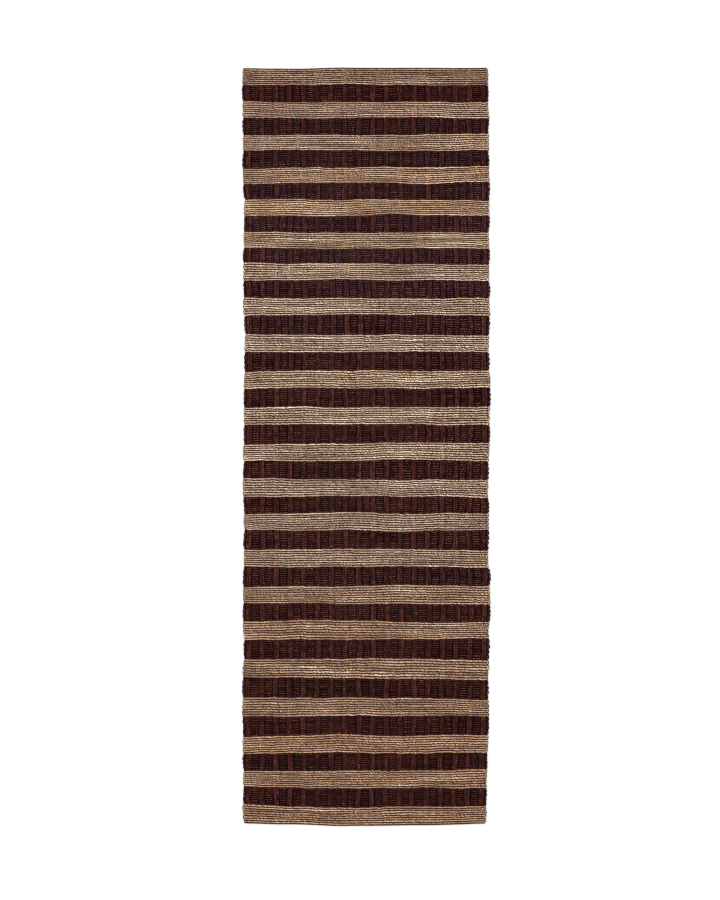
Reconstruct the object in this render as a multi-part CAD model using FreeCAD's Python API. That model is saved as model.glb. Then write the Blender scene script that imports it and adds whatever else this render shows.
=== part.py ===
"""Hand-woven runner rug: natural and dark cord bands on rust-brown and black warps.

The rug lies flat. +X runs across it, selvedge to selvedge, +Y along it, and +Z up.
The origin is on the floor under the middle of the rug. Millimetres throughout.
"""
import FreeCAD, Part
import math
import os

# Sizes that are set by themselves
rug_width = 804.0         # from selvedge to selvedge
band_count = 43           # odd, so that the rug starts and ends on a natural band
passes_per_band = 8       # times the cord crosses the rug in one band
pass_pitch = 7.25         # from one pass to the next, before the weaver's unevenness
pass_gap = 0.4            # between two passes lying side by side
natural_cord_height = 7.0
dark_cord_height = 5.7    # softer cord, pressed flatter by the warps over it
crown = 2.0               # bevel along both upper edges of a natural cord
dark_crown = 1.2          # the same on a dark cord
turn_length = 3.0         # how far in from the selvedge a cord's turn reaches

column_pitch = 45.2       # between the middles of two rust columns
rust_cord_width = 7.2     # one of the cords of a rust column
rust_cord_thickness = 3.0
rust_cords_per_column = 2
binder_width = 1.6        # black thread that runs along each side of a column
binder_thickness = 1.6
warp_gap = 0.4            # between neighbouring warps in a column
floor_lift = 0.6          # height of the warps where they pass under natural cords
warp_clearance = 0.3      # between a warp and the cords around it, square to both

selvedge_warp_diameter = 2.4
selvedge_inset = 6.5      # from the edge to the middle of the selvedge warp
selvedge_gap = 0.5        # least distance from that warp to the nearest column
ridge_thread_diameter = 1.2   # thin dark thread in the furrow between natural cords
ridge_thread_inset = 2.0      # the thread stops this far short of the edge
end_cord_width = 2.6      # twined cord that locks the first and the last pass
end_cord_height = 5.0
end_cord_bevel = 0.8

# How evenly the weaver beat the passes together, as shares of pass_pitch
tight_start = -0.064      # passes lie closer at the start and looser at the finish
tight_ends = -0.022       # and closer at both ends than in the middle
slow_wave = 0.020         # five half-waves along the rug
uneven_bands = {11: -0.12, 15: 0.08, 25: -0.12, 31: -0.11, 34: 0.085, 39: -0.075}

# What follows from those
end_cord_gap = pass_gap
slope_clearance = warp_clearance * math.sqrt(2)   # measured upright, on a 45 degree ramp
float_gap = 1.1 * slope_clearance                 # so that a tunnel clears the dark cords
level_under = floor_lift
level_over = dark_cord_height + float_gap
ramp_reach = (level_over - level_under) / 2
column_width = (
    rust_cords_per_column * (rust_cord_width + warp_gap)
    + 2 * binder_width
    + warp_gap
)
least_selvedge = (
    selvedge_inset + selvedge_warp_diameter / 2 + selvedge_gap + column_width / 2
)
column_count = int((rug_width - 2 * least_selvedge) // column_pitch) + 1


def is_dark(band):
    return band % 2 == 1


def pitch_in(band):
    """Distance between two passes of a band, counted from the start of the rug."""
    along = (band + 0.5) / band_count
    share = (
        tight_start * math.cos(math.pi * along)
        + tight_ends * math.cos(2 * math.pi * along)
        + slow_wave * math.cos(5 * math.pi * along)
        + uneven_bands.get(band, 0.0)
    )
    return pass_pitch * (1 + share)


def band_edges():
    """Y of every line between two bands, from the start (+Y) to the finish (-Y)."""
    depths = [passes_per_band * pitch_in(band) for band in range(band_count)]
    edges = [sum(depths) / 2]
    for depth in depths:
        edges.append(edges[-1] - depth)
    return edges


def column_middles():
    first = -column_pitch * (column_count - 1) / 2
    return [first + column_pitch * column for column in range(column_count)]


def prism(points, direction):
    """Solid from a flat outline and the vector that it is drawn out along."""
    return Part.Face(Part.makePolygon(points + points[:1])).extrude(direction)


def crowned_bar(middle_y, width, height, bevel):
    """Straight cord right across the rug, flat below and bevelled along its top."""
    half = width / 2
    outline = [
        (-half, 0),
        (half, 0),
        (half, height - bevel),
        (half - bevel, height),
        (-half + bevel, height),
        (-half, height - bevel),
    ]
    points = [FreeCAD.Vector(-rug_width / 2, middle_y + y, z) for y, z in outline]
    return prism(points, FreeCAD.Vector(rug_width, 0, 0))


def warp_run(left_x, width, bottom_shift, thickness, edges, far_y, near_y):
    """Warp from far_y to near_y: over the dark bands and under the natural ones."""

    def level(y):
        band = sum(1 for edge in edges[1:-1] if edge > y)
        return level_over if is_dark(band) else level_under

    lower = [(far_y, level(far_y))]
    for edge in edges[1:-1]:
        before, after = edge + ramp_reach, edge - ramp_reach
        if far_y > before and after > near_y:
            lower.append((before, level(before)))
            lower.append((after, level(after)))
    lower.append((near_y, level(near_y)))
    upper = [(y, z + thickness) for y, z in reversed(lower)]
    points = [FreeCAD.Vector(left_x, y, z + bottom_shift) for y, z in lower + upper]
    return prism(points, FreeCAD.Vector(width, 0, 0))


def selvedge_rod(side, diameter, far_y, near_y):
    """Round rod along one selvedge, side is -1 on the left and 1 on the right."""
    middle_x = side * (rug_width / 2 - selvedge_inset)
    start = FreeCAD.Vector(middle_x, near_y, dark_cord_height / 2)
    return Part.makeCylinder(diameter / 2, far_y - near_y, start, FreeCAD.Vector(0, 1, 0))


def weft_cord(band, edges):
    """The one length of cord that a band is woven from: passes joined by turns."""
    pitch = pitch_in(band)
    width = pitch - pass_gap
    height = dark_cord_height if is_dark(band) else natural_cord_height
    bevel = dark_crown if is_dark(band) else crown
    first_y = edges[band] - pitch / 2
    bars, turns = [], []
    for turn in range(passes_per_band):
        y = first_y - turn * pitch
        bars.append(crowned_bar(y, width, height, bevel))
        if turn < passes_per_band - 1:
            left = rug_width / 2 - turn_length if turn % 2 == 0 else -rug_width / 2
            corner = FreeCAD.Vector(left, y - pitch / 2 - pass_gap, 0)
            turns.append(Part.makeBox(turn_length, 2 * pass_gap, height - bevel, corner))
    far_y, near_y = edges[band] + ramp_reach, edges[band + 1] - ramp_reach
    tunnels = []
    for middle in column_middles():
        room = column_width + 2 * warp_clearance
        tunnels.append(
            warp_run(
                middle - room / 2,
                room,
                -slope_clearance,
                rust_cord_thickness + 2 * slope_clearance,
                edges,
                min(far_y + ramp_reach, edges[0]),
                max(near_y - ramp_reach, edges[-1]),
            )
        )
    for side in (-1, 1):
        hole = selvedge_warp_diameter + 2 * warp_clearance
        tunnels.append(selvedge_rod(side, hole, far_y, near_y))
    return bars[0].fuse(bars[1:] + turns).cut(tunnels).removeSplitter()


def rust_cords(columns, edges):
    """The rust-brown warp cords of some columns, side by side in each column."""
    cords = []
    step = rust_cord_width + warp_gap
    for middle in columns:
        for place in range(rust_cords_per_column):
            left_x = middle + (place - rust_cords_per_column / 2) * step + warp_gap / 2
            cords.append(
                warp_run(
                    left_x, rust_cord_width, 0, rust_cord_thickness, edges, edges[0], edges[-1]
                )
            )
    return cords


def binder_threads(edges):
    """The black warp threads along both sides of every column."""
    threads = []
    for middle in column_middles():
        for left_x in (middle - column_width / 2, middle + column_width / 2 - binder_width):
            threads.append(
                warp_run(left_x, binder_width, 0, binder_thickness, edges, edges[0], edges[-1])
            )
    return threads


def ridge_threads(edges):
    """Thin dark threads that lie in the furrows between natural cords."""
    threads = []
    radius = ridge_thread_diameter / 2
    furrow_foot = natural_cord_height - crown - pass_gap / 2
    middle_z = furrow_foot + (radius + warp_clearance) * math.sqrt(2)
    length = rug_width - 2 * ridge_thread_inset
    for band in range(0, band_count, 2):
        pitch = pitch_in(band)
        for furrow in range(1, passes_per_band):
            start = FreeCAD.Vector(-length / 2, edges[band] - furrow * pitch, middle_z)
            threads.append(
                Part.makeCylinder(radius, length, start, FreeCAD.Vector(1, 0, 0))
            )
    return threads


def end_cord(middle_y):
    return crowned_bar(middle_y, end_cord_width, end_cord_height, end_cord_bevel)


def save(node, solids):
    shape = solids[0] if len(solids) == 1 else Part.makeCompound(solids)
    shape.exportStep(os.path.join("parts", node + ".step"))


def main():
    os.makedirs("parts", exist_ok=True)
    edges = band_edges()
    for band in range(band_count):
        kind = "dark" if is_dark(band) else "natural"
        save(f"{kind}_cord_{band // 2 + 1:02d}", [weft_cord(band, edges)])

    middles = column_middles()
    half = (column_count + 1) // 2
    save("rust_warps_left", rust_cords(middles[:half], edges))
    save("rust_warps_right", rust_cords(middles[half:], edges))
    save("binder_warps", binder_threads(edges))
    for side, name in ((-1, "left"), (1, "right")):
        rod = selvedge_rod(side, selvedge_warp_diameter, edges[0], edges[-1])
        save(f"selvedge_warp_{name}", [rod])

    save("ridge_threads", ridge_threads(edges))
    end_y = edges[0] - pass_gap / 2 + end_cord_gap + end_cord_width / 2
    save("end_cord_start", [end_cord(end_y)])
    save("end_cord_finish", [end_cord(-end_y)])
    print("length", round(2 * end_y + end_cord_width, 2), "columns", column_count)


main()
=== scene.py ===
import bpy
import math
import numpy as np
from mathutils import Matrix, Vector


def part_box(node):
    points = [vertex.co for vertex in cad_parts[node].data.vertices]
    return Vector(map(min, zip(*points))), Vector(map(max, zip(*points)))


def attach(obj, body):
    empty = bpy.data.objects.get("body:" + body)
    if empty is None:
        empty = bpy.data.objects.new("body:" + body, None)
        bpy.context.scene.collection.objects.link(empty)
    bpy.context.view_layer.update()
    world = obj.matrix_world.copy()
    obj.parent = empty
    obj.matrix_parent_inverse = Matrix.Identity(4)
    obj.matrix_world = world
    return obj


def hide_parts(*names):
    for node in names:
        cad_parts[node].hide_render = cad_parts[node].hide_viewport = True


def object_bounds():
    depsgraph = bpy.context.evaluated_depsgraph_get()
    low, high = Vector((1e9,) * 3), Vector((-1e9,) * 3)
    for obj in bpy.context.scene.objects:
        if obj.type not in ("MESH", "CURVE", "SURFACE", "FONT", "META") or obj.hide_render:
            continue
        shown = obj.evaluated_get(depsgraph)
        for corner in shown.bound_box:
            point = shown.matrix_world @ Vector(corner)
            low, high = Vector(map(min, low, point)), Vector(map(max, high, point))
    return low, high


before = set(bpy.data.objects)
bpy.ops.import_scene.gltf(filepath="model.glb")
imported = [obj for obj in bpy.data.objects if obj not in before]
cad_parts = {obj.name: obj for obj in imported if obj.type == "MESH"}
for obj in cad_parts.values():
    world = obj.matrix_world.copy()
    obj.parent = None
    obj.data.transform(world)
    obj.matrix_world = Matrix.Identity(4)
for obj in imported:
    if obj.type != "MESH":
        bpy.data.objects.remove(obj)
cad_low, cad_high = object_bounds()


# ---------------------------------------------------------------- rust warps
# Two flat rust-brown cords run side by side down each of the eighteen columns. Each is
# two-ply cotton, strung the whole length of the rug before the weft goes in. They float
# over the dark bands, where they show, and dive under the pale ones.

band_count = 43
pass_gap = 0.0004
column_count = 18
column_pitch = 0.0452
rust_step = 0.0076          # from one cord of a column to the other
rust_half_width = 0.0039
rust_half_height = 0.0016
rust_over = 0.0069          # height of the cord's middle over a dark band
rust_under = 0.0021
rust_lay = 0.0145           # length of one full turn of its plies
dive_reach = 0.0042         # half the length of a warp's dive between two bands
near_dive = 1.5 * dive_reach    # its mesh is fine this far under a pale band
shown_step = 0.0034         # between two rings of the mesh where a warp shows
hidden_step = 0.0095
rust_taper = 0.004          # a cord closes to a point over this length at its ends

band_nodes = [
    ("natural_cord_%02d", "dark_cord_%02d")[band % 2] % (band // 2 + 1)
    for band in range(band_count)
]
band_boxes = [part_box(node) for node in band_nodes]
rug_half = (cad_high.x - cad_low.x) / 2
band_lines = [band_boxes[0][1].y + pass_gap / 2]
for before, after in zip(band_boxes, band_boxes[1:]):
    band_lines.append((before[0].y + after[1].y) / 2)
band_lines.append(band_boxes[-1][0].y - pass_gap / 2)
rug_start, rug_finish = band_lines[0], band_lines[-1]
column_middles = [
    (column - (column_count - 1) / 2) * column_pitch for column in range(column_count)
]
unchanging = (9, 99)        # wavelengths so long that a wave hardly changes along that axis


def wave_set(seed, count, amount, across, along):
    """Waves of random direction; across and along hold their shortest and longest length."""
    draw = np.random.default_rng(seed)
    slant_x = 2 * math.pi / draw.uniform(*across, count) * draw.choice((-1, 1), count)
    slant_y = 2 * math.pi / draw.uniform(*along, count)
    return amount, slant_x, slant_y, draw.uniform(0, 2 * math.pi, count)


def waves(wave_sets, x, y):
    total = np.zeros(len(x))
    for amount, slant_x, slant_y, phase in wave_sets:
        for i in range(len(phase)):
            total += amount * np.sin(slant_x[i] * x + slant_y[i] * y + phase[i])
    return total


def smooth_step(t):
    t = np.clip(t, 0, 1)
    return t * t * (3 - 2 * t)


# the beaten lines wander along the rug, the columns and selvedges wander across it
beat_waves = [
    wave_set(3, 9, 0.00040, (0.26, 0.80), (0.16, 0.90)),
    wave_set(4, 6, 0.00014, (0.09, 0.25), (0.06, 0.20)),
]
column_waves = [
    wave_set(5, 5, 0.00100, (0.70, 3.00), (0.30, 1.20)),
    wave_set(6, 8, 0.00050, (0.08, 0.22), (0.07, 0.25)),
]
start_tilt = 0.0018         # the start's right corner lies this much further on
finish_bow = 0.0080         # both corners of the finish lie this much further back
finish_skew = 0.12          # the right corner less so by this share, and the left one more
finish_pull = 0.0042        # the finish's right corner is drawn in by this much
end_reach = 0.30            # how far from an end these fade out
sway = 0.0044               # over a third of the way down, the rug lies this far to the right
sway_place = 0.7            # under 1, so that this is before its middle
edge_tilt = 0.0023          # a line between two bands is this much off square, or so
edge_bow = 0.0018           # and this much off straight
column_bow = 0.0029         # a dark band stands out this much at the right selvedge
bow_from = 0.1              # this begins so far from the middle, as a share of half the width
bow_reach = 0.8             # and grows over this share


def down_the_rug(y):
    """0 at the start of the rug and 1 at its finish."""
    return (rug_start - y) / (rug_start - rug_finish)


def across_dark_band(y):
    """0 on the pale bands and at the edges of a dark one, about 1 in its middle."""
    rise = np.zeros(len(y))
    for band in range(1, band_count, 2):
        share = (band_lines[band] - y) / (band_lines[band] - band_lines[band + 1])
        strength = np.random.default_rng(600 + band).uniform(0.6, 1.4)
        rise += strength * np.sin(math.pi * np.clip(share, 0, 1))
    return rise


def lie_of_rug(x, y, z):
    """Points of the square weave, moved to where the hand-beaten rug has them."""
    share = x / rug_half
    gone = np.clip(down_the_rug(y), 0, 1)
    at_start = smooth_step((y - rug_start + end_reach) / end_reach)
    at_finish = smooth_step((rug_finish + end_reach - y) / end_reach)
    moved_x = x + waves(column_waves, x, y) - finish_pull * at_finish * np.maximum(share, 0)
    moved_x += sway * np.sin(math.pi * gone**sway_place)
    to_right = smooth_step((share - bow_from) / bow_reach) * np.sin(math.pi * gone)
    moved_x += column_bow * to_right * across_dark_band(y)
    moved_y = y + waves(beat_waves, x, y) + start_tilt * share * at_start
    moved_y += finish_bow * (share**2 - finish_skew * share) * at_finish
    return np.column_stack((moved_x, moved_y, z))


def edge_line(edge, x):
    """Y of the line between two bands; the weaver beats each one a little differently."""
    level = np.full(len(x), band_lines[edge])
    if edge in (0, band_count):
        return level
    share = x / rug_half
    draw = np.random.default_rng(800 + edge)
    level += draw.normal(0, edge_tilt) * share
    level -= (edge_bow * draw.normal(0.7, 1.0)) * (share**2 - 1 / 3)
    strays = [
        wave_set(900 + edge, 5, 0.00044, (0.25, 0.80), unchanging),
        wave_set(1900 + edge, 6, 0.00032, (0.06, 0.25), unchanging),
        wave_set(2900 + edge, 8, 0.00020, (0.016, 0.05), unchanging),
    ]
    return level + waves(strays, x, np.zeros(len(x)))


def lines_at(x):
    """Y of all the lines between bands, where one warp crosses them."""
    return [edge_line(edge, np.array([x]))[0] for edge in range(band_count + 1)]


def over_dark_bands(y, lines):
    """1 where a warp lies over a dark band, 0 where it lies under a pale one."""
    lift = np.zeros(len(y))
    for band in range(1, band_count, 2):
        far, near = lines[band], lines[band + 1]
        lift += smooth_step((y - near) / (2 * dive_reach) + 0.5)
        lift -= smooth_step((y - far) / (2 * dive_reach) + 0.5)
    return lift


def warp_stations(lines):
    """Places along a warp, close together where it shows and where it dives."""
    stations = [rug_start]
    for band in range(band_count):
        far, near = lines[band], lines[band + 1]
        if band % 2:
            steps = [(near, shown_step)]
        else:
            steps = [
                (far - near_dive, shown_step),
                (near + near_dive, hidden_step),
                (near, shown_step),
            ]
        for goal, step in steps:
            count = max(1, round((stations[-1] - goal) / step))
            stations.extend(np.linspace(stations[-1], goal, count + 1)[1:])
    return np.array(stations)


def lengths_along(points):
    return np.concatenate(([0], np.cumsum(np.linalg.norm(np.diff(points, axis=0), axis=1))))


def lines_object(name, runs):
    """An object of bare lines; each run is a dictionary of points and what they carry."""
    mesh = bpy.data.meshes.new(name)
    points = np.concatenate([run["points"] for run in runs])
    mesh.vertices.add(len(points))
    mesh.vertices.foreach_set("co", points.astype(np.float32).ravel())
    links, first = [], 0
    for run in runs:
        count = len(run["points"])
        index = np.arange(first, first + count - 1)
        links.append(np.column_stack((index, index + 1)))
        first += count
    links = np.concatenate(links)
    mesh.edges.add(len(links))
    mesh.edges.foreach_set("vertices", links.astype(np.int32).ravel())
    for key in ("along", "twist", "half_width", "half_height", "place", "row", "groove_shade", "hank"):
        values = [np.broadcast_to(run.get(key, 0.0), len(run["points"])) for run in runs]
        layer = mesh.attributes.new(key, "FLOAT", "POINT")
        layer.data.foreach_set("value", np.concatenate(values).astype(np.float32))
    mesh.update()
    lines = bpy.data.objects.new(name, mesh)
    bpy.context.scene.collection.objects.link(lines)
    return lines


def add(tree, kind, inputs=None, **settings):
    """A new node; an input is a value, or the socket that feeds it."""
    made = tree.nodes.new(kind)
    for name, value in settings.items():
        setattr(made, name, value)
    for name, value in (inputs or {}).items():
        if isinstance(value, bpy.types.NodeSocket):
            tree.links.new(value, made.inputs[name])
        else:
            made.inputs[name].default_value = value
    return made


def calc(tree, operation, *values):
    return add(tree, "ShaderNodeMath", dict(enumerate(values)), operation=operation).outputs[0]


def carried(tree, name, kind="FLOAT"):
    return add(tree, "GeometryNodeInputNamedAttribute", {"Name": name}, data_type=kind).outputs[0]


def new_tree(name, kind, inputs, outputs):
    """A node tree with named sockets; inputs are (name, socket kind, first value)."""
    tree = bpy.data.node_groups.new(name, kind)
    for label, socket, value in inputs:
        made = tree.interface.new_socket(label, in_out="INPUT", socket_type=socket)
        if value is not None:
            made.default_value = value
    for label, socket in outputs:
        tree.interface.new_socket(label, in_out="OUTPUT", socket_type=socket)
    return tree, tree.nodes.new("NodeGroupInput"), tree.nodes.new("NodeGroupOutput")


def make_cord_tree():
    """Geometry Nodes that spin a plied cord round every line."""
    tree, given, result = new_tree(
        "spin a plied cord",
        "GeometryNodeTree",
        [
            ("Lines", "NodeSocketGeometry", None),
            ("Sides", "NodeSocketInt", 8),
            ("Plies", "NodeSocketFloat", 2.0),
            ("Ply Depth", "NodeSocketFloat", 0.08),
            ("Slub", "NodeSocketFloat", 0.05),
            ("Slub Length", "NodeSocketFloat", 0.03),
            ("Rows", "NodeSocketFloat", 8.0),
            ("Material", "NodeSocketMaterial", None),
        ],
        [("Cord", "NodeSocketGeometry")],
    )
    size = given.outputs
    turn = 2 * math.pi
    # the section: an open ring of points, first and last in the same place
    ring = add(tree, "GeometryNodeMeshLine", {"Count": calc(tree, "ADD", size["Sides"], 1.0)})
    share = calc(
        tree, "DIVIDE", add(tree, "GeometryNodeInputIndex").outputs[0], size["Sides"]
    )
    angle = calc(tree, "MULTIPLY", share, turn)
    spot = add(
        tree,
        "ShaderNodeCombineXYZ",
        {"X": calc(tree, "COSINE", angle), "Y": calc(tree, "SINE", angle)},
    )
    ring = add(
        tree,
        "GeometryNodeStoreNamedAttribute",
        {"Geometry": ring.outputs[0], "Name": "around", "Value": share},
    )
    ring = add(
        tree,
        "GeometryNodeSetPosition",
        {"Geometry": ring.outputs[0], "Position": spot.outputs[0]},
    )
    ring = add(tree, "GeometryNodeMeshToCurve", {"Mesh": ring.outputs[0]})
    # the line, which remembers its own place on every point
    line = add(tree, "GeometryNodeMeshToCurve", {"Mesh": size["Lines"]})
    line = add(
        tree,
        "GeometryNodeStoreNamedAttribute",
        {
            "Geometry": line.outputs[0],
            "Name": "centre",
            "Value": add(tree, "GeometryNodeInputPosition").outputs[0],
        },
        data_type="FLOAT_VECTOR",
    )
    line = add(tree, "GeometryNodeSetCurveNormal", {"Curve": line.outputs[0]}, mode="Z_UP")
    swept = add(
        tree,
        "GeometryNodeCurveToMesh",
        {
            "Curve": line.outputs[0],
            "Profile Curve": ring.outputs[0],
            "Scale": carried(tree, "half_width"),
        },
    )
    # plies, slubs and the flattening of the cord
    centre = carried(tree, "centre", "FLOAT_VECTOR")
    reach = add(
        tree,
        "ShaderNodeVectorMath",
        {0: add(tree, "GeometryNodeInputPosition").outputs[0], 1: centre},
        operation="SUBTRACT",
    )
    turned = calc(tree, "SUBTRACT", carried(tree, "around"), carried(tree, "twist"))
    lobes = calc(
        tree,
        "COSINE",
        calc(tree, "MULTIPLY", calc(tree, "MULTIPLY", turned, size["Plies"]), turn),
    )
    slubs = add(
        tree,
        "ShaderNodeTexNoise",
        {
            "W": calc(tree, "DIVIDE", carried(tree, "along"), size["Slub Length"]),
            "Scale": 1.0,
            "Detail": 2.0,
        },
        noise_dimensions="1D",
    )
    swell = calc(
        tree,
        "ADD",
        calc(tree, "MULTIPLY_ADD", lobes, size["Ply Depth"], 1.0),
        calc(
            tree,
            "MULTIPLY",
            calc(tree, "MULTIPLY_ADD", slubs.outputs[0], 2.0, -1.0),
            size["Slub"],
        ),
    )
    reach = add(
        tree,
        "ShaderNodeVectorMath",
        {0: reach.outputs[0], "Scale": swell},
        operation="SCALE",
    )
    flat = calc(tree, "DIVIDE", carried(tree, "half_height"), carried(tree, "half_width"))
    squash = add(tree, "ShaderNodeCombineXYZ", {"X": 1.0, "Y": 1.0, "Z": flat})
    reach = add(
        tree,
        "ShaderNodeVectorMath",
        {0: reach.outputs[0], 1: squash.outputs[0]},
        operation="MULTIPLY",
    )
    up = add(tree, "ShaderNodeSeparateXYZ", {0: reach.outputs[0]}).outputs["Z"]
    lifted = add(
        tree,
        "GeometryNodeStoreNamedAttribute",
        {
            "Geometry": swept.outputs[0],
            "Name": "lift",
            "Value": calc(tree, "DIVIDE", up, carried(tree, "half_height")),
        },
    )
    place = add(tree, "ShaderNodeVectorMath", {0: centre, 1: reach.outputs[0]}, operation="ADD")
    placed = add(
        tree,
        "GeometryNodeSetPosition",
        {"Geometry": lifted.outputs[0], "Position": place.outputs[0]},
    )
    # two maps: one follows the plies, the other lays every row out side by side
    ply_map = add(
        tree, "ShaderNodeCombineXYZ", {"X": carried(tree, "along"), "Y": turned}
    ).outputs[0]
    row = calc(tree, "ADD", carried(tree, "row"), carried(tree, "around"))
    row_map = add(
        tree,
        "ShaderNodeCombineXYZ",
        {"X": carried(tree, "place"), "Y": calc(tree, "DIVIDE", row, size["Rows"])},
    ).outputs[0]
    shape = placed
    for name, value in (("OFBake", row_map), ("ply", ply_map)):
        shape = add(
            tree,
            "GeometryNodeStoreNamedAttribute",
            {"Geometry": shape.outputs[0], "Name": name, "Value": value},
            data_type="FLOAT2",
            domain="CORNER",
        )
    # what only the tree needed goes, and the seams and tapered ends are closed
    for name in ("centre", "around", "twist", "half_width", "half_height", "place", "row"):
        shape = add(
            tree, "GeometryNodeRemoveAttribute", {"Geometry": shape.outputs[0], "Name": name}
        )
    shape = add(
        tree,
        "GeometryNodeMergeByDistance",
        {"Geometry": shape.outputs[0], "Distance": 0.000002},
    )
    shape = add(tree, "GeometryNodeSetShadeSmooth", {"Geometry": shape.outputs[0]})
    shape = add(tree, "GeometryNodeRealizeInstances", {"Geometry": shape.outputs[0]})
    shape = add(
        tree,
        "GeometryNodeSetMaterial",
        {"Geometry": shape.outputs[0], "Material": size["Material"]},
    )
    tree.links.new(shape.outputs[0], result.inputs[0])
    return tree


cord_tree = make_cord_tree()


def spin(name, runs, sizes):
    """A piece of plied cord round some lines, as a plain mesh."""
    lines = lines_object(name + "_lines", runs)
    modifier = lines.modifiers.new("cord", "NODES")
    modifier.node_group = cord_tree
    for item in cord_tree.interface.items_tree:
        if item.in_out == "INPUT" and item.name in sizes:
            modifier[item.identifier] = sizes[item.name]
    depsgraph = bpy.context.evaluated_depsgraph_get()
    mesh = bpy.data.meshes.new_from_object(lines.evaluated_get(depsgraph))
    mesh.name = name
    piece = bpy.data.objects.new(name, mesh)
    bpy.context.scene.collection.objects.link(piece)
    bare = lines.data
    bpy.data.objects.remove(lines)
    bpy.data.meshes.remove(bare)
    return piece


def tapered(points, half_width, half_height, taper):
    """Thickness that shrinks to nothing at both ends of a run, so that they close. The
    height keeps a trace, because the tree divides by it."""
    along = lengths_along(points)
    near_end = np.minimum(along, along[-1] - along)
    share = np.sqrt(smooth_step(near_end / taper))
    return half_width * share, np.maximum(half_height * share, 1e-7)


def even_run(points, size, lay, place, row, first=0):
    """A run of evenly twisted cord. Its size is half its width, half its height and the
    length of its tapered ends, lay is one full turn of its plies, and the yarn's pattern
    starts at first."""
    along = lengths_along(points)
    half_width, half_height = tapered(points, *size)
    return {
        "points": points,
        "along": along + first,
        "twist": along / lay,
        "half_width": half_width,
        "half_height": half_height,
        "place": place,
        "row": row,
    }


def make_ply_group():
    """Shader group: where the plies of a cord rise and sink, and its fibres' streaks."""
    tree, given, result = new_tree(
        "plied yarn",
        "ShaderNodeTree",
        [
            ("Plies", "NodeSocketFloat", 2.0),
            ("Fibre Length", "NodeSocketFloat", 0.02),
            ("Fibre Fineness", "NodeSocketFloat", 3.0),
        ],
        [
            ("Ply", "NodeSocketFloat"),
            ("Fibre", "NodeSocketFloat"),
            ("Hair", "NodeSocketFloat"),
            ("Along", "NodeSocketFloat"),
        ],
    )
    size = given.outputs
    ply_map = add(tree, "ShaderNodeUVMap", uv_map="ply").outputs[0]
    split = add(tree, "ShaderNodeSeparateXYZ", {0: ply_map})
    along, around = split.outputs["X"], split.outputs["Y"]
    angle = calc(tree, "MULTIPLY", around, 2 * math.pi)
    wave = calc(tree, "COSINE", calc(tree, "MULTIPLY", angle, size["Plies"]))
    ply = calc(tree, "MULTIPLY_ADD", wave, 0.5, 0.5)
    spot = add(
        tree,
        "ShaderNodeCombineXYZ",
        {
            "X": calc(tree, "DIVIDE", along, size["Fibre Length"]),
            "Y": calc(tree, "MULTIPLY", calc(tree, "COSINE", angle), size["Fibre Fineness"]),
            "Z": calc(tree, "MULTIPLY", calc(tree, "SINE", angle), size["Fibre Fineness"]),
        },
    )
    fibre = add(
        tree,
        "ShaderNodeTexNoise",
        {"Vector": spot.outputs[0], "Scale": 1.0, "Detail": 4.0, "Roughness": 0.7},
    )
    # single hairs: the same streaks again, five times finer
    thin = add(
        tree, "ShaderNodeVectorMath", {0: spot.outputs[0], 1: (1.4, 5.0, 5.0)}, operation="MULTIPLY"
    )
    hair = add(
        tree,
        "ShaderNodeTexNoise",
        {"Vector": thin.outputs[0], "Scale": 1.0, "Detail": 3.0, "Roughness": 0.65},
    )
    tree.links.new(ply, result.inputs["Ply"])
    tree.links.new(fibre.outputs[0], result.inputs["Fibre"])
    tree.links.new(hair.outputs[0], result.inputs["Hair"])
    tree.links.new(along, result.inputs["Along"])
    return tree


def make_shade_group():
    """Shader group: 1 on the top and bottom of a cord, 0 on its sides, in the furrows."""
    tree, given, result = new_tree(
        "furrow shade",
        "ShaderNodeTree",
        [("Dark Below", "NodeSocketFloat", 0.1), ("Light Above", "NodeSocketFloat", 0.8)],
        [("Open", "NodeSocketFloat")],
    )
    lift = add(tree, "ShaderNodeAttribute", attribute_name="lift").outputs["Fac"]
    lift = calc(tree, "ABSOLUTE", lift)
    open_share = add(
        tree,
        "ShaderNodeMapRange",
        {
            "Value": lift,
            "From Min": given.outputs["Dark Below"],
            "From Max": given.outputs["Light Above"],
        },
        interpolation_type="SMOOTHSTEP",
    )
    tree.links.new(open_share.outputs[0], result.inputs[0])
    return tree


ply_group = make_ply_group()
shade_group = make_shade_group()


def use(tree, group, inputs=None):
    made = add(tree, "ShaderNodeGroup", node_tree=group)
    for name, value in (inputs or {}).items():
        made.inputs[name].default_value = value
    return made.outputs


def ramp(tree, value, stops):
    """Colour ramp; stops are (place, colour) pairs."""
    made = add(tree, "ShaderNodeValToRGB", {"Fac": value})
    elements = made.color_ramp.elements
    while len(elements) < len(stops):
        elements.new(1.0)
    for element, (place, colour) in zip(elements, stops):
        element.position = place
        element.color = (*colour, 1)
    return made.outputs[0]


def dim(tree, colour, factor):
    """A colour times a grey factor."""
    return add(
        tree, "ShaderNodeVectorMath", {0: colour, "Scale": factor}, operation="SCALE"
    ).outputs[0]


def mix(tree, share, first, second, blend="MIX"):
    made = add(tree, "ShaderNodeMix", data_type="RGBA", blend_type=blend)
    for socket, value in ((0, share), (6, first), (7, second)):
        if isinstance(value, bpy.types.NodeSocket):
            tree.links.new(value, made.inputs[socket])
        elif isinstance(value, tuple):
            made.inputs[socket].default_value = (*value, 1)
        else:
            made.inputs[socket].default_value = value
    return made.outputs[2]


def mix_value(tree, share, first, second):
    return add(tree, "ShaderNodeMix", {0: share, 2: first, 3: second}).outputs[0]


def span(tree, value, low, high, to_low, to_high):
    """A value stretched from low..high to to_low..to_high, and held there."""
    return add(
        tree,
        "ShaderNodeMapRange",
        {"Value": value, "From Min": low, "From Max": high, "To Min": to_low, "To Max": to_high},
    ).outputs[0]


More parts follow.
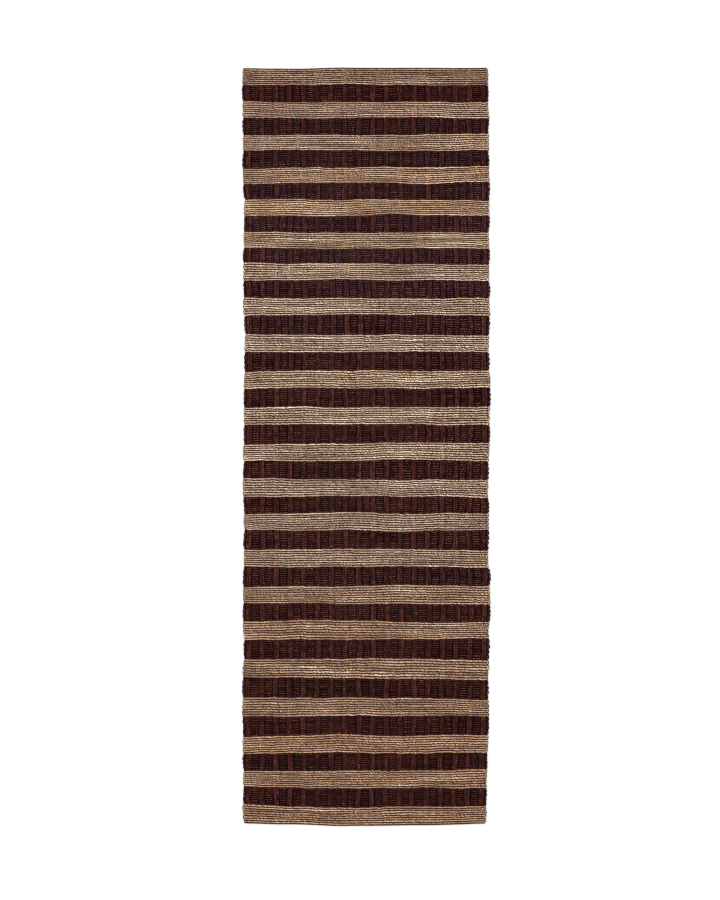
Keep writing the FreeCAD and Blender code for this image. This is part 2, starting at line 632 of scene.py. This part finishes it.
def drift(tree, along, length, detail=2.0, offset=0.0):
    """Slow noise along a yarn; length is about one patch of it."""
    place = calc(tree, "MULTIPLY_ADD", along, 1 / length, offset)
    return add(
        tree,
        "ShaderNodeTexNoise",
        {"W": place, "Scale": 1.0, "Detail": detail},
        noise_dimensions="1D",
    ).outputs[0]


def tint_shade_and_light(tree, colour, grey, shade_tint, light_tint):
    """A colour times a grey factor of painted shade, painted highlight and real flecks, with a
    painted tint in its darker parts and another in its lighter ones.
    """
    lightest = 1.8
    place = calc(tree, "DIVIDE", grey, lightest)
    tint = ramp(tree, place, [(0.0, shade_tint), (0.5, (1, 1, 1)), (1.0, light_tint)])
    return dim(tree, mix(tree, 1.0, colour, tint, "MULTIPLY"), grey)


def speckle(tree, along, length, low, high, offset=0.0):
    """Grey factor of short light and dark flecks along a yarn."""
    return span(tree, drift(tree, along, length, 2.0, offset), 0.30, 0.70, low, high)


def start_material(name, roughness, specular):
    material = bpy.data.materials.new(name)
    material.use_nodes = True
    tree = material.node_tree
    surface = tree.nodes["Principled BSDF"]
    surface.inputs["Roughness"].default_value = roughness
    surface.inputs["Specular IOR Level"].default_value = specular
    return material, tree, surface


def bump(tree, surface, height, distance):
    made = add(tree, "ShaderNodeBump", {"Height": height, "Distance": distance})
    tree.links.new(made.outputs[0], surface.inputs["Normal"])


def cord_relief(tree, yarn):
    """Height of a cord's surface: its plies, the fibres on them and their hairs."""
    relief = calc(tree, "MULTIPLY_ADD", yarn["Ply"], 1.2, yarn["Fibre"])
    return calc(tree, "MULTIPLY_ADD", yarn["Hair"], 0.35, relief)


def hairs(tree, grey, yarn):
    """A grey factor, streaked with single hairs."""
    return calc(tree, "MULTIPLY", grey, span(tree, yarn["Hair"], 0.32, 0.68, 0.66, 1.34))


def rust_cord_material():
    material, tree, surface = start_material("rust_cord", 0.85, 0.05)
    yarn = use(tree, ply_group, {"Plies": 2.0, "Fibre Length": 0.006, "Fibre Fineness": 2.5})
    blotch = drift(tree, yarn["Along"], 0.020, 3.0)
    dye = drift(tree, yarn["Along"], 0.25, 2.0, 50.0)
    tone = calc(tree, "MULTIPLY_ADD", dye, 0.45, calc(tree, "MULTIPLY", blotch, 0.55))
    colour = ramp(
        tree,
        tone,
        [
            (0.34, (0.024, 0.0080, 0.0070)),
            (0.50, (0.054, 0.0163, 0.0126)),
            (0.65, (0.110, 0.0312, 0.0232)),
        ],
    )
    along_rug = add(
        tree,
        "ShaderNodeSeparateXYZ",
        {0: add(tree, "ShaderNodeTexCoord").outputs["Object"]},
    ).outputs["Y"]
    lot = ramp(
        tree,
        span(tree, along_rug, rug_finish, rug_start, 0.0, 1.0),
        [
            (0.00, (0.98, 0.92, 0.88)),
            (0.35, (1.12, 1.12, 1.08)),
            (0.75, (1.14, 1.20, 1.35)),
            (1.00, (0.98, 0.88, 0.80)),
        ],
    )
    colour = mix(tree, 1.0, colour, lot, "MULTIPLY")
    # painted shade in the valleys between the plies and painted highlight on their crowns; the
    # fibre streaks and flecks are the yarn's own
    grey = calc(
        tree,
        "MULTIPLY",
        span(tree, yarn["Ply"], 0.1, 0.8, 0.22, 1.30),
        span(tree, yarn["Fibre"], 0.3, 0.7, 0.60, 1.40),
    )
    grey = calc(tree, "MULTIPLY", grey, speckle(tree, yarn["Along"], 0.005, 0.55, 1.48, 9.0))
    # painted shade on the cord's sides, where it meets its neighbour
    shade = use(tree, shade_group, {"Dark Below": -0.1, "Light Above": 0.7})["Open"]
    grey = calc(tree, "MULTIPLY", grey, span(tree, shade, 0.0, 1.0, 0.65, 1.0))
    grey = hairs(tree, grey, yarn)
    # painted tints: redder in the painted shade, paler in the painted highlights
    colour = tint_shade_and_light(tree, colour, grey, (1.20, 0.75, 0.70), (1.0, 1.15, 1.20))
    tree.links.new(colour, surface.inputs["Base Color"])
    bump(tree, surface, cord_relief(tree, yarn), 0.0005)
    return material


def rust_run(middle, place, index):
    """One cord of a column, from the start of the rug to its finish."""
    lines = lines_at(middle)
    y = warp_stations(lines)
    x = np.full(len(y), middle + (place - 0.5) * rust_step)
    lift = over_dark_bands(y, lines)
    draw = np.random.default_rng(100 + index)
    loose = waves([wave_set(200 + index, 5, 0.00022, unchanging, (0.03, 0.12))], x, y)
    z = rust_under + (rust_over - rust_under) * lift
    points = lie_of_rug(x + loose, y, z)
    size = (rust_half_width, rust_half_height, rust_taper)
    run = even_run(points, size, rust_lay, down_the_rug(y), index % column_count, 7 * index)
    run["twist"] *= (1 if place else -1) * draw.uniform(0.9, 1.1)
    run["half_width"] *= draw.uniform(0.93, 1.03)
    return run


rust_material = rust_cord_material()
half_of_columns = column_count // 2
for side, columns in (
    ("left", column_middles[:half_of_columns]),
    ("right", column_middles[half_of_columns:]),
):
    first = 0 if side == "left" else 2 * half_of_columns
    rust_runs = [
        rust_run(middle, place, first + 2 * number + place)
        for number, middle in enumerate(columns)
        for place in (0, 1)
    ]
    piece = spin(
        "rust_warp_cords_" + side,
        rust_runs,
        {
            "Sides": 8,
            "Plies": 2.0,
            "Ply Depth": 0.14,
            "Slub": 0.05,
            "Slub Length": 0.02,
            "Rows": float(column_count),
            "Material": rust_material,
        },
    )
    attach(piece, "root")
    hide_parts("rust_warps_" + side)


# ---------------------------------------------------------------- binder warps
# A thin black cotton thread runs down both sides of every rust column. It is tighter
# than the rust cords, so it draws the dark cords down into a groove beside the column.

binder_offset = 0.0088      # from the middle of a column to its binder
binder_half_width = 0.0011
binder_half_height = 0.0008
binder_over = 0.0056
binder_under = 0.0014
binder_lay = 0.006
binder_taper = 0.003


def cotton_material(name, dark, light, tone_length):
    material, tree, surface = start_material(name, 0.9, 0.04)
    yarn = use(tree, ply_group, {"Plies": 2.0, "Fibre Length": 0.004, "Fibre Fineness": 2.0})
    tone = drift(tree, yarn["Along"], tone_length, 3.0)
    colour = ramp(tree, tone, [(0.35, dark), (0.65, light)])
    # painted shade in the valleys between the plies and painted highlight on their crowns; the
    # fibre streaks are the thread's own
    grey = calc(
        tree,
        "MULTIPLY",
        span(tree, yarn["Ply"], 0.0, 1.0, 0.6, 1.1),
        span(tree, yarn["Fibre"], 0.3, 0.7, 0.8, 1.2),
    )
    grey = hairs(tree, grey, yarn)
    tree.links.new(dim(tree, colour, grey), surface.inputs["Base Color"])
    bump(tree, surface, cord_relief(tree, yarn), 0.0003)
    return material


def binder_run(middle, side, index):
    lines = lines_at(middle)
    y = warp_stations(lines)[::2]
    x = np.full(len(y), middle + side * binder_offset)
    z = binder_under + (binder_over - binder_under) * over_dark_bands(y, lines)
    size = (binder_half_width, binder_half_height, binder_taper)
    return even_run(lie_of_rug(x, y, z), size, binder_lay, down_the_rug(y), index, 5 * index)


black_cotton = cotton_material(
    "black_cotton", (0.009, 0.0035, 0.0030), (0.020, 0.0085, 0.0075), tone_length=0.04
)
binder_runs = [
    binder_run(middle, side, 2 * number + (side > 0))
    for number, middle in enumerate(column_middles)
    for side in (-1, 1)
]
binders = spin(
    "binder_threads",
    binder_runs,
    {
        "Sides": 4,
        "Plies": 2.0,
        "Ply Depth": 0.0,
        "Slub": 0.08,
        "Slub Length": 0.02,
        "Rows": 2.0 * column_count,
        "Material": black_cotton,
    },
)
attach(binders, "root")
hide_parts("binder_warps")


# ---------------------------------------------------------------- selvedge warps
# One round black cotton cord runs down each edge, inside the turns of the weft, and
# keeps the edges from drawing in.

selvedge_radius = 0.0012
selvedge_inset = 0.0065
selvedge_height = 0.00285
selvedge_lay = 0.010
selvedge_taper = 0.003
selvedge_stations = 1500


def selvedge_run(side):
    y = np.linspace(rug_start, rug_finish, selvedge_stations)
    x = np.full(len(y), side * (rug_half - selvedge_inset))
    points = lie_of_rug(x, y, np.full(len(y), selvedge_height))
    size = (selvedge_radius, selvedge_radius, selvedge_taper)
    return even_run(points, size, selvedge_lay, down_the_rug(y), 0)


for side, word in ((-1, "left"), (1, "right")):
    piece = spin(
        "selvedge_cord_" + word,
        [selvedge_run(side)],
        {
            "Sides": 8,
            "Plies": 3.0,
            "Ply Depth": 0.08,
            "Slub": 0.05,
            "Rows": 1.0,
            "Material": black_cotton,
        },
    )
    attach(piece, "root")
    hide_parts("selvedge_warp_" + word)


# ---------------------------------------------------------------- furrow threads
# A thin dark thread lies in each furrow between two passes of a pale cord. It binds the
# passes together and draws the thin, uneven dark lines along the pale bands.

passes_per_band = 8
thread_half_width = 0.0019
thread_half_height = 0.0008
thread_height = 0.0061
thread_sink = 0.0011        # how much deeper it lies in places
thread_inset = 0.002
thread_step = 0.008
thread_taper = 0.004


def furrow_line(band, furrow, x):
    """Y of a furrow between two passes; the first and last are the band's own edges."""
    far, near = edge_line(band, x), edge_line(band + 1, x)
    even = far + (near - far) * furrow / passes_per_band
    if furrow in (0, passes_per_band):
        return even
    stray = wave_set(1000 + 20 * band + furrow, 6, 0.00026, (0.05, 0.30), unchanging)
    return even + waves([stray], x, np.zeros(len(x)))


def across_the_rug(x):
    """0 at the left selvedge and 1 at the right one."""
    return (x + rug_half) / (2 * rug_half)


def thread_run(band, furrow, index):
    reach = rug_half - thread_inset
    x = np.linspace(-reach, reach, round(2 * reach / thread_step))
    y = furrow_line(band, furrow, x)
    dips = waves([wave_set(5000 + index, 5, 0.4, (0.03, 0.15), unchanging)], x, np.zeros(len(x)))
    z = thread_height - thread_sink * smooth_step(0.5 + 0.5 * dips)
    size = (thread_half_width, thread_half_height, thread_taper)
    return even_run(lie_of_rug(x, y, z), size, binder_lay, across_the_rug(x), index, 3 * index)


brown_cotton = cotton_material(
    "brown_cotton", (0.015, 0.0058, 0.0034), (0.110, 0.050, 0.026), tone_length=0.014
)
thread_places = [
    (band, furrow)
    for band in range(0, band_count, 2)
    for furrow in range(1, passes_per_band)
]
threads = spin(
    "furrow_threads",
    [thread_run(band, furrow, index) for index, (band, furrow) in enumerate(thread_places)],
    {
        "Sides": 4,
        "Plies": 2.0,
        "Ply Depth": 0.0,
        "Slub": 0.15,
        "Slub Length": 0.015,
        "Rows": float(len(thread_places)),
        "Material": brown_cotton,
    },
)
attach(threads, "root")
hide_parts("ridge_threads")


# ---------------------------------------------------------------- pale bands
# Each pale band is one length of thick two-ply jute that crosses the rug eight times
# and turns back at the selvedges. It is undyed, so its colour drifts along the yarn.

pale_step = 0.0029
pale_top = 0.0068
pale_half_height = 0.0031
pale_squeezed = 0.00158     # half its height where it rides over the hidden warps
pale_lay = 0.018
pale_crowding = 1.03        # width of the cord in its row; it is squeezed by its neighbours
column_half = 0.0094        # from the middle of a column to the outside of its binder
squeeze_reach = 0.004
selvedge_reach = 0.0015     # the grooves fade out this soon outside the last column
groove_near = 0.0075        # the groove begins so far from the middle of a column,
groove_near_reach = 0.0015  # and is whole after this
groove_far = 0.0115         # it begins to end here,
groove_far_reach = 0.0022   # and is gone after this
turn_stations = 7
turn_bulge = 0.0008         # how far a turn stands out past the ends of its passes
loose_turn = {-1: 0.0008, 1: 0.0018}    # and how much further at most, left and right
tail_reach = 0.004          # the cord's two ends sink into the weave over this length
tail_sink = 0.0010          # by this much
weft_taper = 0.0035
least_middle = 0.001        # a cord's middle line stays this far off the floor
floor_gap = 0.0001          # and its underside this far
tail_shares = np.array([[1.0], [0.85], [0.5]])      # places on an end, as shares of it
ply_swell = 1.17            # a cord's plies and slubs stand out by up to this share
turn_share = 0.015          # share of the row map kept for the turns


def from_column(x):
    """Distance to the middle of the nearest column."""
    nearest = np.clip(np.round(x / column_pitch + (column_count - 1) / 2), 0, column_count - 1)
    return np.abs(x - (nearest - (column_count - 1) / 2) * column_pitch)


def weft_line(band, step):
    """The square-weave line of a band's cord: x, y, half width, and its row map."""
    pitch = (band_lines[band] - band_lines[band + 1]) / passes_per_band
    reach = rug_half - pitch / 2 - turn_bulge
    straight = np.linspace(-reach, reach, round(2 * reach / step))
    draw = np.random.default_rng(3000 + band)
    line = []
    for number in range(passes_per_band):
        x = straight if number % 2 == 0 else straight[::-1]
        far, near = furrow_line(band, number, x), furrow_line(band, number + 1, x)
        share = (x + reach) / (2 * reach)
        place = turn_share + share * (1 - 2 * turn_share)
        line.append(np.column_stack((x, (far + near) / 2, (far - near) / 2, place, 0 * x + number)))
    tail = tail_shares * [pitch / 2, 0, 0, turn_share, 0]
    joined = [line[0][0] - tail, line[0]]
    for number in range(1, passes_per_band):
        side = 1 if number % 2 else -1
        before, after = joined[-1][-1], line[number][0]
        part = (np.arange(turn_stations) + 1) / (turn_stations + 1)
        turn = before + (after - before) * (1 - np.cos(math.pi * part[:, None])) / 2
        bulge = turn_bulge + draw.uniform(0, loose_turn[side])
        turn[:, 0] += side * bulge * np.sin(math.pi * part)
        turn[:, 3] += side * turn_share * np.sin(math.pi * part)
        joined.extend((turn, line[number]))
    joined.append(line[-1][-1] - tail[::-1])
    return np.concatenate(joined).T


def weft_run(band, step, lay, crowding, top_at, half_height_at):
    x, y, half_width, place, row = weft_line(band, step)
    tall = half_height_at(x)
    points = lie_of_rug(x, y, top_at(x) - tall)
    along = lengths_along(points)
    near_end = np.minimum(along, along[-1] - along)
    points[:, 2] -= tail_sink * (1 - smooth_step(near_end / tail_reach))
    points[:, 2] = np.maximum(points[:, 2], least_middle)
    half_width, half_height = tapered(points, crowding * half_width, tall, weft_taper)
    half_height = np.minimum(half_height, (points[:, 2] - floor_gap) / ply_swell)
    spin_waves = wave_set(4000 + band, 12, 0.16, (0.03, 0.40), unchanging)
    draw = np.random.default_rng(7000 + band)
    return {
        "points": points,
        "along": along + 11 * band,
        "twist": along / lay + waves([spin_waves], along, 0 * along),
        "half_width": half_width,
        "half_height": half_height,
        "place": place,
        "row": row,
        "groove_shade": in_groove(x),
        "hank": draw.uniform(),
    }


def beyond_columns(x):
    """0 between the columns and 1 on the strip outside the outermost ones."""
    outermost = column_middles[-1] + column_half
    return smooth_step((np.abs(x) - outermost) / selvedge_reach)


def in_groove(x):
    """1 in the grooves beside the rust columns, 0 elsewhere."""
    away = from_column(x)
    inside = smooth_step((away - groove_near) / groove_near_reach)
    inside *= 1 - smooth_step((away - groove_far) / groove_far_reach)
    return inside * (1 - beyond_columns(x))


def pale_half_height_at(x):
    open_share = smooth_step((from_column(x) - column_half) / squeeze_reach)
    return pale_squeezed + (pale_half_height - pale_squeezed) * open_share


def pale_top_at(x):
    return np.full(len(x), pale_top)


def by_hank(tree, colour):
    """Each band comes from its own hank: a little lighter or darker, warmer or greyer."""
    hank = add(tree, "ShaderNodeAttribute", attribute_name="hank").outputs["Fac"]
    tint = ramp(
        tree,
        hank,
        [
            (0.0, (0.90, 0.93, 1.00)),
            (0.3, (1.04, 1.01, 0.94)),
            (0.6, (0.98, 1.00, 1.05)),
            (1.0, (1.07, 1.02, 0.92)),
        ],
    )
    return mix(tree, 1.0, colour, tint, "MULTIPLY")


def jute_material():
    material, tree, surface = start_material("natural_jute", 0.9, 0.12)
    yarn = use(tree, ply_group, {"Plies": 2.0, "Fibre Length": 0.007, "Fibre Fineness": 1.8})
    spot = add(tree, "ShaderNodeTexCoord").outputs["Object"]
    slow = drift(tree, yarn["Along"], 0.40, 5.0)
    patch = add(
        tree,
        "ShaderNodeTexNoise",
        {"Vector": spot, "Scale": 11.0, "Detail": 4.0},
    ).outputs[0]
    tone = calc(tree, "MULTIPLY_ADD", patch, 0.25, calc(tree, "MULTIPLY", slow, 0.75))
    colour = ramp(
        tree,
        tone,
        [
            (0.34, (0.215, 0.134, 0.098)),
            (0.45, (0.340, 0.220, 0.158)),
            (0.53, (0.430, 0.290, 0.208)),
            (0.62, (0.560, 0.410, 0.305)),
            (0.70, (0.700, 0.580, 0.475)),
        ],
    )
    hue = drift(tree, yarn["Along"], 0.05, 3.0, 40.0)
    warm = span(tree, hue, 0.52, 0.70, 0.0, 0.45)
    cool = span(tree, hue, 0.48, 0.34, 0.0, 0.50)
    colour = mix(tree, warm, colour, (0.560, 0.390, 0.190))
    colour = mix(tree, cool, colour, (0.360, 0.300, 0.245))
    height = add(tree, "ShaderNodeSeparateXYZ", {0: spot}).outputs["Y"]
    place = span(tree, height, rug_finish, rug_start, 0.0, 1.0)
    lot = ramp(
        tree,
        place,
        [
            (0.00, (0.76, 0.71, 0.68)),
            (0.12, (0.85, 0.79, 0.73)),
            (0.26, (0.84, 0.80, 0.76)),
            (0.42, (0.94, 1.00, 1.00)),
            (0.62, (1.02, 1.12, 1.15)),
            (0.80, (0.99, 1.00, 0.95)),
            (0.94, (0.93, 0.92, 0.91)),
            (1.00, (0.68, 0.63, 0.61)),
        ],
    )
    colour = by_hank(tree, mix(tree, 1.0, colour, lot, "MULTIPLY"))
    # painted shade in the valleys between the plies and painted highlight on their crowns; the
    # fibre streaks and flecks are the yarn's own
    grey = calc(
        tree,
        "MULTIPLY",
        span(tree, yarn["Ply"], 0.0, 0.8, 0.80, 1.06),
        span(tree, yarn["Fibre"], 0.3, 0.7, 0.57, 1.40),
    )
    grey = calc(tree, "MULTIPLY", grey, speckle(tree, yarn["Along"], 0.006, 0.57, 1.44, 9.0))
    # painted shade on the cord's sides, down in the furrows, and painted highlight on its crown
    shade = use(tree, shade_group, {"Dark Below": 0.66, "Light Above": 0.98})["Open"]
    shade = span(tree, shade, 0.0, 1.0, 0.11, 1.44)
    # in patches along the yarn the painted furrow shade and crown highlight fade to an even 0.8
    loose = span(tree, drift(tree, yarn["Along"], 0.06, 2.0, 70.0), 0.40, 0.65, 0.0, 0.20)
    grey = calc(tree, "MULTIPLY", grey, mix_value(tree, loose, shade, 0.80))
    grey = hairs(tree, grey, yarn)
    # painted tints: redder in the painted shade, paler in the painted highlights
    colour = tint_shade_and_light(tree, colour, grey, (1.36, 0.64, 0.32), (0.99, 1.06, 1.16))
    tree.links.new(colour, surface.inputs["Base Color"])
    bump(tree, surface, cord_relief(tree, yarn), 0.0005)
    return material


natural_jute = jute_material()
for band in range(0, band_count, 2):
    piece = spin(
        "pale_band_%02d" % (band // 2 + 1),
        [weft_run(band, pale_step, pale_lay, pale_crowding, pale_top_at, pale_half_height_at)],
        {
            "Sides": 8,
            "Plies": 2.0,
            "Ply Depth": 0.07,
            "Slub": 0.09,
            "Slub Length": 0.022,
            "Rows": float(passes_per_band),
            "Material": natural_jute,
        },
    )
    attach(piece, "root")
    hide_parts(band_nodes[band])


# ---------------------------------------------------------------- dark bands
# Each dark band is one length of softer jute, dyed aubergine, that crosses the rug eight
# times. The warps over it press it down in the columns, and it swells up between them.

dark_step = 0.0038
dark_lay = 0.014
dark_crowding = 1.09
dark_under_rust = 0.0053    # height of its top under the rust cords
dark_in_groove = 0.0044     # in the groove beside them
dark_pillow = 0.0065        # and in the middle between two columns
dark_floor = 0.0003         # height of its underside
press_near = 0.0065         # the groove's near side begins so far from a column's middle
press_reach = 0.002
pillow_near = 0.0105        # and its far side, where the cord swells up again, here
pillow_reach = 0.0055


def dark_top_at(x):
    away = from_column(x)
    pressed = smooth_step((away - press_near) / press_reach)
    top = dark_under_rust + (dark_in_groove - dark_under_rust) * pressed
    open_share = np.maximum(smooth_step((away - pillow_near) / pillow_reach), beyond_columns(x))
    return top + (dark_pillow - dark_in_groove) * open_share


def dark_half_height_at(x):
    return (dark_top_at(x) - dark_floor) / 2


def dark_jute_material():
    material, tree, surface = start_material("dark_jute", 0.9, 0.05)
    yarn = use(tree, ply_group, {"Plies": 2.0, "Fibre Length": 0.007, "Fibre Fineness": 2.2})
    spot = add(tree, "ShaderNodeTexCoord").outputs["Object"]
    slow = drift(tree, yarn["Along"], 0.05, 3.0)
    patch = add(
        tree,
        "ShaderNodeTexNoise",
        {"Vector": spot, "Scale": 11.0, "Detail": 3.0},
    ).outputs[0]
    tone = calc(tree, "MULTIPLY_ADD", patch, 0.45, calc(tree, "MULTIPLY", slow, 0.55))
    colour = ramp(
        tree,
        tone,
        [
            (0.36, (0.0340, 0.0125, 0.0135)),
            (0.50, (0.0480, 0.0165, 0.0175)),
            (0.64, (0.0680, 0.0260, 0.0270)),
        ],
    )
    hue = calc(tree, "ADD", drift(tree, yarn["Along"], 0.07, 3.0, 40.0), patch)
    colour = mix(tree, span(tree, hue, 1.02, 1.22, 0.0, 0.55), colour, (0.050, 0.0250, 0.0140))
    colour = mix(tree, span(tree, hue, 0.96, 0.78, 0.0, 0.60), colour, (0.045, 0.0170, 0.0300))
    height = add(tree, "ShaderNodeSeparateXYZ", {0: spot}).outputs["Y"]
    place = span(tree, height, rug_finish, rug_start, 0.0, 1.0)
    lot = ramp(
        tree,
        place,
        [
            (0.00, (0.95, 0.78, 0.63)),
            (0.20, (1.00, 0.88, 0.72)),
            (0.34, (1.27, 1.22, 1.00)),
            (0.52, (1.22, 1.15, 0.95)),
            (0.64, (1.24, 1.22, 1.10)),
            (0.75, (1.36, 1.50, 1.75)),
            (0.86, (1.20, 1.20, 1.30)),
            (0.96, (1.05, 0.90, 0.84)),
        ],
    )
    colour = by_hank(tree, mix(tree, 1.0, colour, lot, "MULTIPLY"))
    # painted shade in the valleys between the plies and painted highlight on their crowns; the
    # fibre streaks are the yarn's own
    grey = calc(
        tree,
        "MULTIPLY",
        span(tree, yarn["Ply"], 0.0, 0.8, 0.46, 1.15),
        span(tree, yarn["Fibre"], 0.3, 0.7, 0.45, 1.52),
    )
    # painted shade on the cord's sides, down in the furrows, and painted highlight on its crown
    shade = use(tree, shade_group, {"Dark Below": 0.76, "Light Above": 0.99})["Open"]
    shade = span(tree, shade, 0.0, 1.0, 0.08, 1.79)
    pressed = drift(tree, yarn["Along"], 0.45, 4.0, 30.0)
    grey = calc(tree, "MULTIPLY", grey, span(tree, pressed, 0.33, 0.67, 0.58, 1.42))
    # in patches along the yarn the painted furrow shade and crown highlight fade to an even 0.75
    loose = span(tree, drift(tree, yarn["Along"], 0.05, 2.0, 70.0), 0.40, 0.65, 0.0, 0.35)
    grey = calc(tree, "MULTIPLY", grey, mix_value(tree, loose, shade, 0.75))
    grey = calc(tree, "MULTIPLY", grey, speckle(tree, yarn["Along"], 0.005, 0.34, 1.82, 9.0))
    # painted shade in the grooves beside the rust columns, deeper in some patches than in others
    groove_shade = add(tree, "ShaderNodeAttribute", attribute_name="groove_shade").outputs["Fac"]
    depth = span(tree, patch, 0.38, 0.60, 0.14, 0.62)
    grey = calc(tree, "MULTIPLY", grey, mix_value(tree, groove_shade, 1.0, depth))
    grey = hairs(tree, grey, yarn)
    # painted tints: redder in the painted shade, paler in the painted highlights
    colour = tint_shade_and_light(tree, colour, grey, (1.50, 0.45, 0.32), (0.94, 1.22, 1.24))
    tree.links.new(colour, surface.inputs["Base Color"])
    bump(tree, surface, cord_relief(tree, yarn), 0.0005)
    return material


dark_jute = dark_jute_material()
for band in range(1, band_count, 2):
    piece = spin(
        "dark_band_%02d" % (band // 2 + 1),
        [weft_run(band, dark_step, dark_lay, dark_crowding, dark_top_at, dark_half_height_at)],
        {
            "Sides": 8,
            "Plies": 2.0,
            "Ply Depth": 0.07,
            "Slub": 0.06,
            "Slub Length": 0.02,
            "Rows": float(passes_per_band),
            "Material": dark_jute,
        },
    )
    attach(piece, "root")
    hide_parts(band_nodes[band])


# ---------------------------------------------------------------- end cords
# A thin twined brown cord locks the first pass and the last one, so that the weave
# can't slide off the ends of the warps.

end_cord_half_width = 0.0013
end_cord_half_height = 0.0019
end_cord_lay = 0.012
end_cord_taper = 0.004
end_cord_inset = 0.001
end_cord_stations = 420


def end_run(node):
    low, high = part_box(node)
    x = np.linspace(-rug_half + end_cord_inset, rug_half - end_cord_inset, end_cord_stations)
    y = np.full(len(x), (low.y + high.y) / 2)
    points = lie_of_rug(x, y, np.full(len(x), (low.z + high.z) / 2))
    size = (end_cord_half_width, end_cord_half_height, end_cord_taper)
    return even_run(points, size, end_cord_lay, across_the_rug(x), 0)


end_twine = cotton_material(
    "end_twine", (0.080, 0.048, 0.033), (0.250, 0.160, 0.110), tone_length=0.020
)
for word in ("start", "finish"):
    piece = spin(
        "twined_end_" + word,
        [end_run("end_cord_" + word)],
        {
            "Sides": 10,
            "Plies": 2.0,
            "Ply Depth": 0.22,
            "Slub": 0.06,
            "Rows": 1.0,
            "Material": end_twine,
        },
    )
    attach(piece, "root")
    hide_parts("end_cord_" + word)


# ---------------------------------------------------------------- floor, light, camera
# A plain pale floor, an even white studio all round, one broad soft light from the
# upper left, and a long lens straight above the rug.

floor_half = 30.0
floor_mesh = bpy.data.meshes.new("floor")
floor_mesh.from_pydata(
    [(-floor_half, -floor_half, 0), (floor_half, -floor_half, 0),
     (floor_half, floor_half, 0), (-floor_half, floor_half, 0)],
    [],
    [(0, 1, 2, 3)],
)
floor = bpy.data.objects.new("floor", floor_mesh)
bpy.context.scene.collection.objects.link(floor)
floor_material, _, floor_surface = start_material("pale_floor", 0.95, 0.0)
floor_surface.inputs["Base Color"].default_value = (0.93, 0.93, 0.93, 1)
floor_mesh.materials.append(floor_material)

world = bpy.data.worlds.new("studio")
world.use_nodes = True
world.node_tree.nodes["Background"].inputs["Color"].default_value = (1, 1, 1, 1)
world.node_tree.nodes["Background"].inputs["Strength"].default_value = 0.95
bpy.context.scene.world = world

soft_light = bpy.data.lights.new("soft_light", "SUN")
soft_light.energy = 1.0
soft_light.angle = math.radians(30)
soft_light_object = bpy.data.objects.new("soft_light", soft_light)
soft_light_object.rotation_euler = (math.radians(-38), math.radians(-22), 0)
bpy.context.scene.collection.objects.link(soft_light_object)

camera_height = 8.0
camera_x, camera_y = -0.0166, -0.0104
view_height = 2.952         # height of what the camera sees on the floor
camera_data = bpy.data.cameras.new("camera")
camera_data.sensor_width = 36.0
camera_data.lens = camera_data.sensor_width * camera_height / view_height
camera_data.clip_end = 100.0
camera = bpy.data.objects.new("camera", camera_data)
camera.location = (camera_x, camera_y, camera_height)
bpy.context.scene.collection.objects.link(camera)
bpy.context.scene.camera = camera
bpy.context.scene.view_settings.view_transform = "Standard"
bpy.context.scene.cycles.filter_width = 1.0
